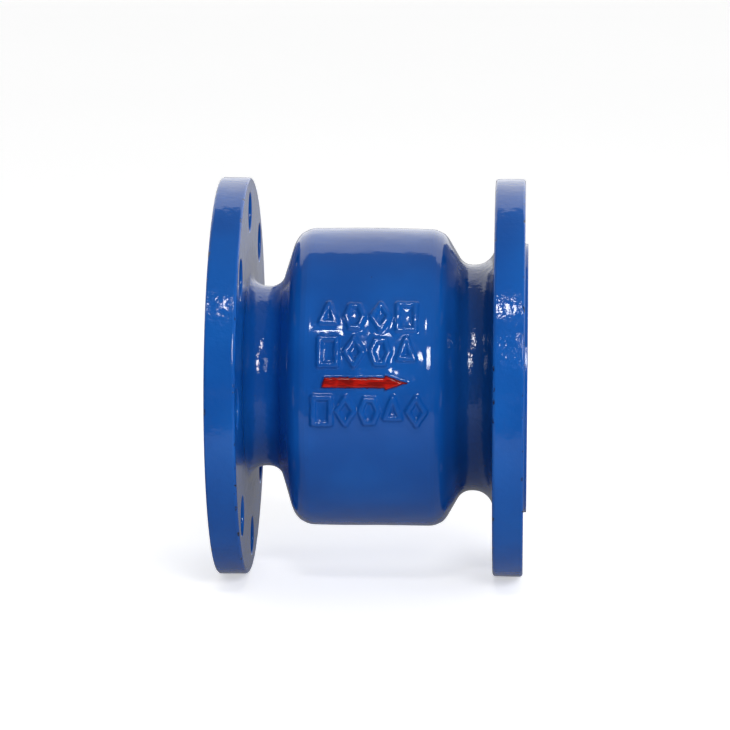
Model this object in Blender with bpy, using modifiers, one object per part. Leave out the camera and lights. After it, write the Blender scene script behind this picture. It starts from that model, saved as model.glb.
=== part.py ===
"""Flanged silent check valve, DN80, built for Blender 4.5 in metres with +Z up.

The valve is a one-piece ductile iron body with a flange at each end. A bronze seat ring is screwed to
a shoulder inside it. A spring-loaded disc closes on the seat ring, and its stem slides in a bush on each
side. Flow runs along +X. The origin is on the flow axis, halfway between the two flange faces.

Every piece is modelled in a flow frame: local Z is the flow direction, and the radius lies in local XY.
Two empties turn that frame so that local Z becomes world +X: one carries the fixed pieces, and the other
carries the disc assembly, which slides along the flow axis.
"""

import math

import bmesh
import bpy
from mathutils import Matrix, Vector

MM = 0.001

# Driving dimensions, in millimetres.
HALF_LENGTH = 75.0  # flange face to flange face is 150
FLANGE_RADIUS = 96.0
FLANGE_THICKNESS = 16.0  # raised face included
FLANGE_EDGE = 2.0
RAISED_FACE_RADIUS = 65.0
RAISED_FACE_HEIGHT = 1.5
BOLT_CIRCLE_RADIUS = 80.0
BOLT_HOLE_RADIUS = 9.5
BOLT_COUNT = 8

DRUM_RADIUS = 72.0
INLET_NECK_RADIUS = 43.7
OUTLET_NECK_RADIUS = 54.6
INLET_BORE_RADIUS = 38.0
OUTLET_BORE_RADIUS = 48.5
CHAMBER_RADIUS = 65.5
GUIDE_POCKET_RADIUS = 52.0
CIRCLIP_GROOVE_RADIUS = 54.2

SEAT_PAD = -34.0  # the shoulder that the seat ring is screwed to
LIFT = 18.0  # travel of the disc from its seat to its stop
GAP = 0.3  # modelling clearance between touching pieces

SEAT_SCREW_CIRCLE = 43.5
RETAINER_SCREW_CIRCLE = 22.0
SCREW_COUNT = 4
SCREW_SHANK_RADIUS = 2.0
SCREW_HEAD_RADIUS = 3.3

BODY_SEGMENTS = 40
PIECE_SEGMENTS = 24
SMALL_SEGMENTS = 12
BOLT_HOLE_SEGMENTS = 12

BLUE_EPOXY = ("blue_epoxy", (0.012, 0.090, 0.350), 0.18, 0.0)
BRONZE = ("bronze", (0.560, 0.370, 0.160), 0.35, 1.0)
STAINLESS = ("stainless", (0.600, 0.600, 0.590), 0.30, 1.0)
SPRING_STEEL = ("spring_steel", (0.520, 0.520, 0.530), 0.25, 1.0)
RUBBER = ("black_rubber", (0.020, 0.020, 0.022), 0.65, 0.0)


# ---------------------------------------------------------------------------
# Scene and materials


def clear_scene():
    for obj in list(bpy.data.objects):
        bpy.data.objects.remove(obj, do_unlink=True)


def new_collection(name):
    collection = bpy.data.collections.new(name)
    bpy.context.scene.collection.children.link(collection)
    return collection


def flow_frame(name):
    """An empty whose local Z is the flow direction, world +X."""
    empty = bpy.data.objects.new(name, None)
    empty.rotation_euler = (0.0, math.radians(90.0), 0.0)
    VALVE.objects.link(empty)
    return empty


def paint(obj, look):
    name, colour, roughness, metallic = look
    material = bpy.data.materials.get(name)
    if material is None:
        material = bpy.data.materials.new(name)
        material.use_nodes = True
        shader = material.node_tree.nodes["Principled BSDF"]
        shader.inputs["Base Color"].default_value = (*colour, 1.0)
        shader.inputs["Roughness"].default_value = roughness
        shader.inputs["Metallic"].default_value = metallic
    obj.data.materials.append(material)


def add_piece(obj, frame, look):
    VALVE.objects.link(obj)
    obj.parent = frame
    paint(obj, look)
    return obj


def add_cutter(obj, collection=None, frame=None):
    """A helper for a Boolean: it is never rendered, so it is not a piece of the valve."""
    (collection or CUTTERS).objects.link(obj)
    obj.parent = frame or FIXED
    obj.hide_render = True
    obj.display_type = "WIRE"
    return obj


def boolean(obj, operation, collection):
    modifier = obj.modifiers.new(operation.title(), "BOOLEAN")
    modifier.operation = operation
    modifier.solver = "EXACT"
    modifier.operand_type = "COLLECTION"
    modifier.collection = collection


# ---------------------------------------------------------------------------
# Shapes in the flow frame. An outline is a list of (radius, z) in millimetres.


def arc(centre, radius, start, end, steps):
    """Points on a circle in the (radius, z) plane. Angles are in degrees, from the radius direction towards +z."""
    points = []
    for step in range(steps + 1):
        angle = math.radians(start + (end - start) * step / steps)
        points.append((centre[0] + radius * math.cos(angle), centre[1] + radius * math.sin(angle)))
    return points


def cross_tangent(first, first_radius, second, second_radius):
    """The direction, in degrees, from the first centre to where a line that crosses between two circles touches it.

    The line touches the second circle in the opposite direction. The first circle lies at a lower z.
    """
    across = Vector((second[0] - first[0], second[1] - first[1]))
    lean = math.degrees(math.acos((first_radius + second_radius) / across.length))
    return math.degrees(math.atan2(across.y, across.x)) + lean


def signed_area(outline):
    total = 0.0
    for (r0, z0), (r1, z1) in zip(outline, outline[1:] + outline[:1]):
        total += r0 * z1 - r1 * z0
    return total / 2.0


def turned(name, outline, segments, closed=True):
    """An outline turned round the flow axis. An open outline starts and ends on the axis."""
    points = list(outline)
    if signed_area(points) > 0:  # the outer side has to run down, or the solid is inside out
        points.reverse()
    mesh = bpy.data.meshes.new(name)
    vertices = [(r * MM, 0.0, z * MM) for r, z in points]
    edges = [(i, i + 1) for i in range(len(points) - 1)]
    if closed:
        edges.append((len(points) - 1, 0))
    mesh.from_pydata(vertices, edges, [])
    obj = bpy.data.objects.new(name, mesh)
    obj.rotation_euler.z = math.pi / segments  # half a facet, so that a flat side lies at the bottom
    screw = obj.modifiers.new("Screw", "SCREW")
    screw.steps = segments
    screw.render_steps = segments
    screw.use_merge_vertices = True
    screw.merge_threshold = 0.00001
    screw.use_smooth_shade = True
    return obj


def rod(name, radius, low, high, segments, centre=(0.0, 0.0)):
    """A plain cylinder along the flow direction, from low to high."""
    mesh = bpy.data.meshes.new(name)
    shape = bmesh.new()
    bmesh.ops.create_cone(
        shape,
        cap_ends=True,
        segments=segments,
        radius1=radius * MM,
        radius2=radius * MM,
        depth=(high - low) * MM,
        matrix=Matrix.Rotation(math.pi / segments, 4, "Z"),
    )
    shape.to_mesh(mesh)
    shape.free()
    obj = bpy.data.objects.new(name, mesh)
    obj.location = Vector((centre[0], centre[1], (low + high) / 2.0)) * MM
    return obj


def flat_curve(name, loops, thickness):
    """A flat outline, with holes where one loop lies inside another, as a 2D curve that is given a thickness."""
    curve = bpy.data.curves.new(name, "CURVE")
    curve.dimensions = "2D"
    curve.fill_mode = "BOTH"
    curve.extrude = thickness * MM / 2.0
    for loop in loops:
        spline = curve.splines.new("POLY")
        spline.points.add(len(loop) - 1)
        for point, (x, y) in zip(spline.points, loop):
            point.co = (x * MM, y * MM, 0.0, 1.0)
        spline.use_cyclic_u = True
    return bpy.data.objects.new(name, curve)


def as_mesh(obj):
    """The curve object as a welded mesh object with the same placing. The curve itself is removed."""
    bpy.context.scene.collection.objects.link(obj)
    bpy.context.view_layer.update()
    graph = bpy.context.evaluated_depsgraph_get()
    mesh = bpy.data.meshes.new_from_object(obj.evaluated_get(graph))
    shape = bmesh.new()
    shape.from_mesh(mesh)
    bmesh.ops.remove_doubles(shape, verts=shape.verts, dist=0.00001)
    bmesh.ops.recalc_face_normals(shape, faces=shape.faces)
    shape.to_mesh(mesh)
    shape.free()
    solid = bpy.data.objects.new(obj.name, mesh)
    solid.matrix_world = obj.matrix_world.copy()
    name = obj.name
    bpy.data.objects.remove(obj, do_unlink=True)
    solid.name = name
    return solid


def on_circle(radius, index, count, phase=0.0):
    angle = math.radians(phase) + 2.0 * math.pi * index / count
    return radius * math.cos(angle), radius * math.sin(angle)


def rib(name, corners, thickness, turn):
    """A flat web. Its corners are (radius, z), and it stands out from the axis at the angle turn, in degrees."""
    web = flat_curve(name, [corners], thickness)
    # The curve's x is the radius and its y is the flow direction, so it is stood up and then turned.
    web.matrix_world = Matrix.Rotation(math.radians(turn), 4, "Z") @ Matrix.Rotation(math.pi / 2.0, 4, "X")
    return as_mesh(web)


# ---------------------------------------------------------------------------
# The body casting


def flange_outline(side):
    """The outside of one flange from its raised face to its back. side is -1 at the inlet and 1 at the outlet."""
    face = HALF_LENGTH - RAISED_FACE_HEIGHT
    back = HALF_LENGTH - FLANGE_THICKNESS
    rim = FLANGE_RADIUS - FLANGE_EDGE
    front_edge = arc((rim, side * (face - FLANGE_EDGE)), FLANGE_EDGE, side * 90.0, 0.0, 1)
    back_edge = arc((rim, side * (back + FLANGE_EDGE)), FLANGE_EDGE, 0.0, side * -90.0, 1)
    return [
        (RAISED_FACE_RADIUS, side * HALF_LENGTH),
        (RAISED_FACE_RADIUS, side * face),
        *front_edge,
        *back_edge,
    ]


def shoulder(neck_centre, neck_bend, drum_centre, drum_bend, side):
    """The S-shaped shoulder from a neck up to the drum: a hollow bend, a straight cone and a round bend."""
    if side < 0:
        tangent = cross_tangent(neck_centre, neck_bend, drum_centre, drum_bend)
        hollow = arc(neck_centre, neck_bend, 180.0, tangent, 2)
        return hollow + arc(drum_centre, drum_bend, tangent - 180.0, 0.0, 3)
    # The outlet shoulder is worked out as an inlet one, mirrored end for end.
    flipped = shoulder((neck_centre[0], -neck_centre[1]), neck_bend, (drum_centre[0], -drum_centre[1]), drum_bend, -1)
    return [(r, -z) for r, z in flipped]


def body_outline():
    back = HALF_LENGTH - FLANGE_THICKNESS
    inlet_fillet, outlet_fillet = 8.0, 9.5
    neck_bend, inlet_drum_bend, outlet_drum_bend = 7.5, 11.0, 10.5
    inlet_side = [
        *flange_outline(-1),
        *arc((INLET_NECK_RADIUS + inlet_fillet, -back + inlet_fillet), inlet_fillet, -90.0, -180.0, 2),
        *shoulder(
            (INLET_NECK_RADIUS + neck_bend, -49.5),
            neck_bend,
            (DRUM_RADIUS - inlet_drum_bend, -27.0),
            inlet_drum_bend,
            -1,
        ),
    ]
    outlet_side = [
        *flange_outline(1),
        *arc((OUTLET_NECK_RADIUS + outlet_fillet, back - outlet_fillet), outlet_fillet, 90.0, 180.0, 2),
        *shoulder(
            (OUTLET_NECK_RADIUS + neck_bend, 48.4),
            neck_bend,
            (DRUM_RADIUS - outlet_drum_bend, 28.0),
            outlet_drum_bend,
            1,
        ),
    ]
    return inlet_side + outlet_side[::-1] + waterway_outline()


def waterway_outline():
    """The inside of the body, from the outlet face back to the inlet face."""
    bend = 9.0
    lip_bend = 8.0
    pocket_floor = 62.5
    groove_low, groove_high = 71.5, 73.3
    chamber_end = 24.0
    return [
        (GUIDE_POCKET_RADIUS, HALF_LENGTH),
        (GUIDE_POCKET_RADIUS, groove_high),
        (CIRCLIP_GROOVE_RADIUS, groove_high),
        (CIRCLIP_GROOVE_RADIUS, groove_low),
        (GUIDE_POCKET_RADIUS, groove_low),
        (GUIDE_POCKET_RADIUS, pocket_floor),
        (OUTLET_BORE_RADIUS, pocket_floor),
        *arc((OUTLET_BORE_RADIUS + lip_bend, chamber_end + bend + lip_bend), lip_bend, -180.0, -90.0, 2),
        *arc((CHAMBER_RADIUS - bend, chamber_end), bend, 90.0, 0.0, 2)[1:],
        *arc((CHAMBER_RADIUS - bend, SEAT_PAD + bend), bend, 0.0, -90.0, 2),
        (INLET_BORE_RADIUS, SEAT_PAD),
        (INLET_BORE_RADIUS, -HALF_LENGTH),
    ]


def bolt_hole_cutters():
    """One drill for each bolt hole, in each flange."""
    drills = new_collection("bolt_hole_cutters")
    over = 3.0
    back = HALF_LENGTH - FLANGE_THICKNESS
    for side, low, high in (("inlet", -HALF_LENGTH - over, -back + over), ("outlet", back - over, HALF_LENGTH + over)):
        for index in range(BOLT_COUNT):
            centre = on_circle(BOLT_CIRCLE_RADIUS, index, BOLT_COUNT)
            drill = rod(f"{side}_drill_{index + 1}", BOLT_HOLE_RADIUS, low, high, BOLT_HOLE_SEGMENTS, centre)
            add_cutter(drill, drills)
    # The blind screw holes in the seat pad.
    for index in range(SCREW_COUNT):
        centre = on_circle(SEAT_SCREW_CIRCLE, index, SCREW_COUNT, 45.0)
        depth = 7.0
        drill = rod(f"pad_drill_{index + 1}", SCREW_SHANK_RADIUS + GAP, SEAT_PAD - depth, SEAT_PAD + 1.0, 12, centre)
        add_cutter(drill, drills)
    return drills


# Cast marks on the front of the drum: three rows of plain polygon rings and a flow arrow.
MARK_WIDTH, MARK_HEIGHT, MARK_STROKE = 10.0, 15.0, 2.4
MARK_RELIEF = 1.8
MARK_ROOT = 2.4
MARK_SHAPES = {  # number of corners, angle of the first corner in degrees, stretch that fills the mark's box
    "triangle": (3, 90.0, 1.0),
    "square": (4, 45.0, math.sqrt(2.0)),
    "diamond": (4, 90.0, 1.0),
    "hexagon": (6, 60.0, 1.0),
}
MARK_ROWS = (  # elevation of the row round the drum in degrees, first and last mark along X, shapes
    (33.9, -17.8, 18.6, ("triangle", "hexagon", "diamond", "square")),
    (20.2, -17.8, 18.6, ("square", "diamond", "hexagon", "triangle")),
    (-1.8, -20.5, 23.5, ("square", "diamond", "hexagon", "triangle", "diamond")),
)
ARROW_ELEVATION = 8.8
ARROW_TAIL, ARROW_NECK, ARROW_TIP = -21.0, 8.5, 19.7
ARROW_SHAFT_HEIGHT, ARROW_HEAD_HEIGHT = 5.4, 8.4


def on_drum(obj, elevation, along):
    """Places a flat mark on the drum, facing outwards, at an elevation above the front (world -Y) side."""
    angle = math.radians(elevation)
    outward = Vector((-math.sin(angle), -math.cos(angle), 0.0))
    upward = Vector((-math.cos(angle), math.sin(angle), 0.0))
    along_flow = Vector((0.0, 0.0, 1.0))
    turn = Matrix((along_flow, upward, outward)).transposed().to_4x4()
    middle = DRUM_RADIUS + (MARK_RELIEF - MARK_ROOT) / 2.0
    obj.matrix_world = Matrix.Translation((outward * middle + along_flow * along) * MM) @ turn
    return as_mesh(obj)


def ring_loop(shape, inset):
    """A regular polygon, stretched to the mark's width and height and drawn in by inset."""
    corners, start, stretch = MARK_SHAPES[shape]
    loop = []
    for index in range(corners):
        angle = math.radians(start) + 2.0 * math.pi * index / corners
        x = math.cos(angle) * stretch * (MARK_WIDTH / 2.0 - inset)
        y = math.sin(angle) * stretch * (MARK_HEIGHT / 2.0 - inset)
        loop.append((x, y))
    return loop


def cast_marks():
    marks = new_collection("cast_marks")
    for row, (elevation, first, last, shapes) in enumerate(MARK_ROWS):
        for place, shape in enumerate(shapes):
            along = first + (last - first) * place / (len(shapes) - 1)
            loops = [ring_loop(shape, 0.0), ring_loop(shape, MARK_STROKE)]
            ring = flat_curve(f"cast_mark_{row + 1}_{place + 1}", loops, MARK_RELIEF + MARK_ROOT)
            add_cutter(on_drum(ring, elevation, along), marks)
    shaft, head = ARROW_SHAFT_HEIGHT / 2.0, ARROW_HEAD_HEIGHT / 2.0
    outline = [
        (ARROW_TAIL, -shaft),
        (ARROW_NECK, -shaft),
        (ARROW_NECK, -head),
        (ARROW_TIP, 0.0),
        (ARROW_NECK, head),
        (ARROW_NECK, shaft),
        (ARROW_TAIL, shaft),
    ]
    arrow = flat_curve("flow_arrow", [outline], MARK_RELIEF + MARK_ROOT)
    add_cutter(on_drum(arrow, ARROW_ELEVATION, 0.0), marks)
    return marks


def make_body():
    body = add_piece(turned("body", body_outline(), BODY_SEGMENTS), FIXED, BLUE_EPOXY)
    boolean(body, "UNION", cast_marks())
    boolean(body, "DIFFERENCE", bolt_hole_cutters())


# ---------------------------------------------------------------------------
# The seat ring, its seal, its screws and the inlet bush

SEAT_BACK = SEAT_PAD + GAP
SEAT_FACE = SEAT_BACK + 8.0
SEAT_LIP = SEAT_FACE + 2.2
SEAT_THROAT = 34.8
SEAT_SLEEVE_RADIUS = INLET_BORE_RADIUS - GAP
SEAT_SLEEVE_END = -56.0
O_RING_PLACE = -47.0
INLET_HUB_LOW, INLET_HUB_HIGH = -60.0, -40.0
INLET_JOURNAL, OUTLET_JOURNAL = 4.9, 5.9


def make_seat_ring():
    groove_half, groove_floor = 1.5, 35.9
    outline = [
        (48.0, SEAT_BACK),
        (48.0, SEAT_FACE - 0.8),
        (47.2, SEAT_FACE),
        (39.0, SEAT_FACE),
        (38.6, SEAT_LIP),
        (36.9, SEAT_LIP),
        (SEAT_THROAT, SEAT_FACE - 1.0),
        (SEAT_THROAT, SEAT_SLEEVE_END),
        (SEAT_SLEEVE_RADIUS - 0.8, SEAT_SLEEVE_END),
        (SEAT_SLEEVE_RADIUS, SEAT_SLEEVE_END + 0.8),
        (SEAT_SLEEVE_RADIUS, O_RING_PLACE - groove_half),
        (groove_floor, O_RING_PLACE - groove_half),
        (groove_floor, O_RING_PLACE + groove_half),
        (SEAT_SLEEVE_RADIUS, O_RING_PLACE + groove_half),
        (SEAT_SLEEVE_RADIUS, SEAT_BACK),
    ]
    seat = add_piece(turned("seat_ring", outline, PIECE_SEGMENTS), FIXED, BRONZE)
    hub_radius, hub_bore = 9.8, 7.3
    joined = new_collection("seat_ring_web")
    hub = [
        (hub_radius, INLET_HUB_HIGH),
        (hub_radius, INLET_HUB_LOW + 2.0),
        (hub_radius - 1.5, INLET_HUB_LOW),
        (hub_bore, INLET_HUB_LOW),
        (hub_bore, INLET_HUB_HIGH),
    ]
    add_cutter(turned("inlet_hub", hub, PIECE_SEGMENTS), joined)
    rib_low, rib_high = -55.0, -42.0
    corners = [(hub_bore + 1.2, rib_low - 2.5), (35.3, rib_low), (35.3, rib_high), (hub_bore + 1.2, rib_high)]
    for index in range(4):
        add_cutter(rib(f"inlet_rib_{index + 1}", corners, 4.0, 45.0 + 90.0 * index), joined)
    boolean(seat, "UNION", joined)
    holes = new_collection("seat_ring_cutters")
    for index in range(SCREW_COUNT):
        centre = on_circle(SEAT_SCREW_CIRCLE, index, SCREW_COUNT, 45.0)
        shank = rod(f"seat_shank_hole_{index + 1}", SCREW_SHANK_RADIUS + GAP, SEAT_BACK - 2.0, SEAT_FACE, 12, centre)
        head = rod(f"seat_head_hole_{index + 1}", SCREW_HEAD_RADIUS + GAP, SEAT_FACE - 4.0, SEAT_LIP, 12, centre)
        add_cutter(shank, holes)
        add_cutter(head, holes)
    boolean(seat, "DIFFERENCE", holes)


def torus(name, ring_radius, section_radius, place):
    bpy.ops.mesh.primitive_torus_add(
        major_radius=ring_radius * MM,
        minor_radius=section_radius * MM,
        major_segments=PIECE_SEGMENTS,
        minor_segments=8,
    )
    obj = bpy.context.object
    obj.name = name
    for collection in list(obj.users_collection):
        collection.objects.unlink(obj)
    obj.location = (0.0, 0.0, place * MM)
    # The ring's facets line up with those of the groove that it lies in.
    obj.rotation_euler.z = math.pi / PIECE_SEGMENTS
    return obj


def socket_screw(name, circle, index, head_base, head_height, length, frame):
    """A socket-head screw that points upstream. head_base is where the head bears."""
    tip = head_base - length
    outline = [
        (0.0, head_base + head_height),
        (SCREW_HEAD_RADIUS - 0.4, head_base + head_height),
        (SCREW_HEAD_RADIUS, head_base + head_height - 0.4),
        (SCREW_HEAD_RADIUS, head_base),
        (SCREW_SHANK_RADIUS, head_base),
        (SCREW_SHANK_RADIUS, tip + 0.6),
        (SCREW_SHANK_RADIUS - 0.6, tip),
        (0.0, tip),
    ]
    screw = add_piece(turned(name, outline, SMALL_SEGMENTS, closed=False), frame, STAINLESS)
    x, y = on_circle(circle, index, SCREW_COUNT, 45.0)
    screw.location = Vector((x, y, 0.0)) * MM
    sockets = new_collection(f"{name}_socket")
    top = head_base + head_height
    add_cutter(rod(f"{name}_key", 1.75, top - 2.0, top + 1.0, 6, (x, y)), sockets, frame)
    boolean(screw, "DIFFERENCE", sockets)


def make_seat_screws():
    for index in range(SCREW_COUNT):
        name = f"seat_screw_{index + 1}"
        socket_screw(name, SEAT_SCREW_CIRCLE, index, SEAT_FACE - 4.0 + GAP, 3.5, 10.0, FIXED)


def bush(name, inner, outer, low, high):
    outline = [(outer, high), (outer, low), (inner, low), (inner, high)]
    return add_piece(turned(name, outline, PIECE_SEGMENTS), FIXED, BRONZE)


# ---------------------------------------------------------------------------
# The disc assembly, which slides along the flow axis

SEAL_FRONT = SEAT_LIP + GAP
SEAL_BACK = SEAL_FRONT + 4.0
DISC_FRONT = SEAL_BACK + GAP
DISC_RADIUS = 43.5
SPRING_POCKET = -8.0
COLLAR_LOW = SPRING_POCKET + GAP
COLLAR_HIGH = -4.0
COLLAR_RADIUS = 10.5
RETAINER_FRONT = SEAL_FRONT - 0.8
RETAINER_STEP = SEAL_FRONT + 1.7
STEM_BORE = INLET_JOURNAL + GAP


def make_disc():
    boss_top = -4.0
    outline = [
        (STEM_BORE, SPRING_POCKET),
        (16.2, SPRING_POCKET),
        (16.2, boss_top),
        (18.0, boss_top),
        (19.5, boss_top - 2.5),
        (24.0, -8.2),
        (DISC_RADIUS - 1.0, -12.8),
        (DISC_RADIUS, -13.8),
        (DISC_RADIUS, SEAL_BACK - 1.8),
        (41.8, SEAL_BACK - 1.8),
        (41.8, DISC_FRONT),
        (STEM_BORE, DISC_FRONT),
    ]
    disc = add_piece(turned("disc", outline, PIECE_SEGMENTS), MOVING, STAINLESS)
    holes = new_collection("disc_cutters")
    for index in range(SCREW_COUNT):
        centre = on_circle(RETAINER_SCREW_CIRCLE, index, SCREW_COUNT, 45.0)
        hole = rod(f"disc_tapped_hole_{index + 1}", SCREW_SHANK_RADIUS + GAP, DISC_FRONT - 2.0, -12.0, 12, centre)
        add_cutter(hole, holes, MOVING)
    boolean(disc, "DIFFERENCE", holes)


def make_disc_seal():
    step = RETAINER_STEP + GAP
    outline = [
        (41.5, SEAL_BACK),
        (41.5, SEAL_FRONT + 0.6),
        (40.9, SEAL_FRONT),
        (35.0, SEAL_FRONT),
        (35.0, step),
        (30.3, step),
        (30.3, SEAL_BACK),
    ]
    add_piece(turned("disc_seal", outline, PIECE_SEGMENTS), MOVING, RUBBER)


def make_seal_retainer():
    outline = [
        (30.0, SEAL_BACK),
        (30.0, RETAINER_STEP),
        (34.7, RETAINER_STEP),
        (34.7, RETAINER_FRONT + 0.8),
        (33.9, RETAINER_FRONT),
        (STEM_BORE, RETAINER_FRONT),
        (STEM_BORE, SEAL_BACK),
    ]
    retainer = add_piece(turned("seal_retainer", outline, PIECE_SEGMENTS), MOVING, STAINLESS)
    holes = new_collection("seal_retainer_cutters")
    for index in range(SCREW_COUNT):
        centre = on_circle(RETAINER_SCREW_CIRCLE, index, SCREW_COUNT, 45.0)
        name = f"retainer_hole_{index + 1}"
        hole = rod(name, SCREW_SHANK_RADIUS + GAP, RETAINER_FRONT - 1.0, SEAL_BACK + 1.0, 12, centre)
        add_cutter(hole, holes, MOVING)
    boolean(retainer, "DIFFERENCE", holes)


def make_retainer_screws():
    """Pan-head screws with a hexagon socket, whose heads face upstream."""
    head_base = RETAINER_FRONT - GAP
    head_height = 2.4
    tip = -13.5
    for index in range(SCREW_COUNT):
        name = f"retainer_screw_{index + 1}"
        outline = [
            (0.0, tip),
            (SCREW_SHANK_RADIUS - 0.6, tip),
            (SCREW_SHANK_RADIUS, tip - 0.6),
            (SCREW_SHANK_RADIUS, head_base),
            (SCREW_HEAD_RADIUS + 0.4, head_base),
            (SCREW_HEAD_RADIUS + 0.2, head_base - 1.2),
            (SCREW_HEAD_RADIUS - 0.9, head_base - head_height),
            (0.0, head_base - head_height),
        ]
        screw = add_piece(turned(name, outline, SMALL_SEGMENTS, closed=False), MOVING, STAINLESS)
        x, y = on_circle(RETAINER_SCREW_CIRCLE, index, SCREW_COUNT, 45.0)
        screw.location = Vector((x, y, 0.0)) * MM
        sockets = new_collection(f"{name}_socket")
        key = rod(f"{name}_key", 1.5, head_base - head_height - 1.0, head_base - head_height + 1.4, 6, (x, y))
        add_cutter(key, sockets, MOVING)
        boolean(screw, "DIFFERENCE", sockets)


def make_stem():
    inlet_end, outlet_end, chamfer = -70.0, 50.0, 1.0
    outline = [
        (0.0, outlet_end),
        (OUTLET_JOURNAL - chamfer, outlet_end),
        (OUTLET_JOURNAL, outlet_end - chamfer),
        (OUTLET_JOURNAL, COLLAR_HIGH),
        (COLLAR_RADIUS, COLLAR_HIGH),
        (COLLAR_RADIUS, COLLAR_LOW),
        (INLET_JOURNAL, COLLAR_LOW),
        (INLET_JOURNAL, inlet_end + chamfer),
        (INLET_JOURNAL - chamfer, inlet_end),
        (0.0, inlet_end),
    ]
    add_piece(turned("stem", outline, PIECE_SEGMENTS, closed=False), MOVING, STAINLESS)


WASHER_BACK = RETAINER_FRONT - GAP
WASHER_FRONT = WASHER_BACK - 1.8
NUT_BACK = WASHER_FRONT - GAP
NUT_HEIGHT = 8.0
NUT_ACROSS_FLATS = 16.0


def make_stem_washer():
    outer = 9.8
    outline = [(outer, WASHER_BACK), (outer, WASHER_FRONT), (STEM_BORE, WASHER_FRONT), (STEM_BORE, WASHER_BACK)]
    add_piece(turned("stem_washer", outline, PIECE_SEGMENTS), MOVING, STAINLESS)


def make_stem_nut():
    corner = NUT_ACROSS_FLATS / 2.0 / math.cos(math.pi / 6.0)
    nut = rod("stem_nut", corner, NUT_BACK - NUT_HEIGHT, NUT_BACK, 6)
    add_piece(nut, MOVING, STAINLESS)
    bores = new_collection("stem_nut_cutters")
    bore = rod("stem_nut_bore", STEM_BORE, NUT_BACK - NUT_HEIGHT - 1.0, NUT_BACK + 1.0, PIECE_SEGMENTS)
    add_cutter(bore, bores, MOVING)
    boolean(nut, "DIFFERENCE", bores)


# ---------------------------------------------------------------------------
# The outlet guide, its bush, the spring and the retaining ring

GUIDE_SLEEVE_RADIUS = 11.5
GUIDE_SLEEVE_START = COLLAR_HIGH + LIFT + GAP
SPRING_SEAT = 32.0
SPRING_WIRE = 1.15
SPRING_RADIUS = 13.4
OUTLET_HUB_END = 66.0
GUIDE_BORE = 9.1


def make_outlet_guide():
    low, high = 62.5 + GAP, 70.8
    outer, inner = GUIDE_POCKET_RADIUS - GAP, 45.5
    outline = [
        (outer, high - 0.8),
        (outer, low),
        (inner + 1.5, low),
        (inner, low + 1.5),
        (inner, high),
        (outer - 0.8, high),
    ]
    guide = add_piece(turned("outlet_guide", outline, PIECE_SEGMENTS), FIXED, BLUE_EPOXY)
    joined = new_collection("outlet_guide_web")
    hub = [
        (GUIDE_BORE, OUTLET_HUB_END),
        (11.0, OUTLET_HUB_END),
        (13.0, OUTLET_HUB_END - 3.0),
        (13.0, SPRING_SEAT + 10.0),
        (17.0, SPRING_SEAT + 5.0),
        (17.0, SPRING_SEAT),
        (GUIDE_SLEEVE_RADIUS, SPRING_SEAT),
        (GUIDE_SLEEVE_RADIUS, GUIDE_SLEEVE_START),
        (GUIDE_BORE, GUIDE_SLEEVE_START),
    ]
    add_cutter(turned("outlet_hub", hub, PIECE_SEGMENTS), joined)
    root, tip = GUIDE_BORE + 1.5, 47.0
    corners = [(root, 44.0), (tip, low + 0.8), (tip, high - 0.8), (root, OUTLET_HUB_END - 3.5)]
    for index in range(4):
        add_cutter(rib(f"outlet_rib_{index + 1}", corners, 5.0, 90.0 * index), joined)
    boolean(guide, "UNION", joined)


def make_spring():
    """A compression spring with a closed turn at each end, between the disc and the outlet guide."""
    turns, end_turns, end_pitch = 7, 2, 2.7
    per_turn = 10
    start = SPRING_POCKET + GAP + SPRING_WIRE
    end = SPRING_SEAT - GAP - SPRING_WIRE
    free_pitch = (end - start - end_turns * end_pitch) / (turns - end_turns)
    curve = bpy.data.curves.new("spring", "CURVE")
    curve.dimensions = "3D"
    curve.bevel_depth = SPRING_WIRE * MM
    curve.bevel_resolution = 2
    curve.use_fill_caps = True
    spline = curve.splines.new("POLY")
    count = turns * per_turn + 1
    spline.points.add(count - 1)
    for index, point in enumerate(spline.points):
        turn = index / per_turn
        lead = min(turn, 1.0) * end_pitch
        middle = min(max(turn - 1.0, 0.0), turns - end_turns) * free_pitch
        tail = max(turn - (turns - 1.0), 0.0) * end_pitch
        angle = 2.0 * math.pi * turn
        x, y = SPRING_RADIUS * math.cos(angle), SPRING_RADIUS * math.sin(angle)
        point.co = (x * MM, y * MM, (start + lead + middle + tail) * MM, 1.0)
    add_piece(bpy.data.objects.new("spring", curve), FIXED, SPRING_STEEL)


def make_retaining_ring():
    """An internal retaining ring: an open C with an eye at each end for the pliers."""
    thickness, middle = 1.5, 72.4
    outer, inner, eye_reach, eye_hole = CIRCLIP_GROOVE_RADIUS - GAP, 49.8, 45.6, 1.25
    gap_half, eye_half = 9.0, 4.5  # degrees either side of the opening, and across each eye
    first, last = gap_half, 360.0 - gap_half

    def around(radius, start, end, steps):
        points = []
        for step in range(steps + 1):
            angle = math.radians(start + (end - start) * step / steps)
            points.append((radius * math.cos(angle), radius * math.sin(angle)))
        return points

    outline = around(outer, first, last, 32)
    outline += around(eye_reach, last, last - 2.0 * eye_half, 2)
    outline += around(inner, last - 2.0 * eye_half - 2.0, first + 2.0 * eye_half + 2.0, 30)
    outline += around(eye_reach, first + 2.0 * eye_half, first, 2)
    eyes = []
    for angle in (first + eye_half, last - eye_half):
        x, y = on_circle(47.6, 0, 1, angle)
        eyes.append([(x + eye_hole * u, y + eye_hole * v) for u, v in (on_circle(1.0, i, 8) for i in range(8))])
    ring = flat_curve("retaining_ring", [outline, *eyes], thickness)
    ring.location.z = middle * MM
    ring.rotation_euler.z = math.pi  # the opening is at the top
    add_piece(as_mesh(ring), FIXED, SPRING_STEEL)


# ---------------------------------------------------------------------------

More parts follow.
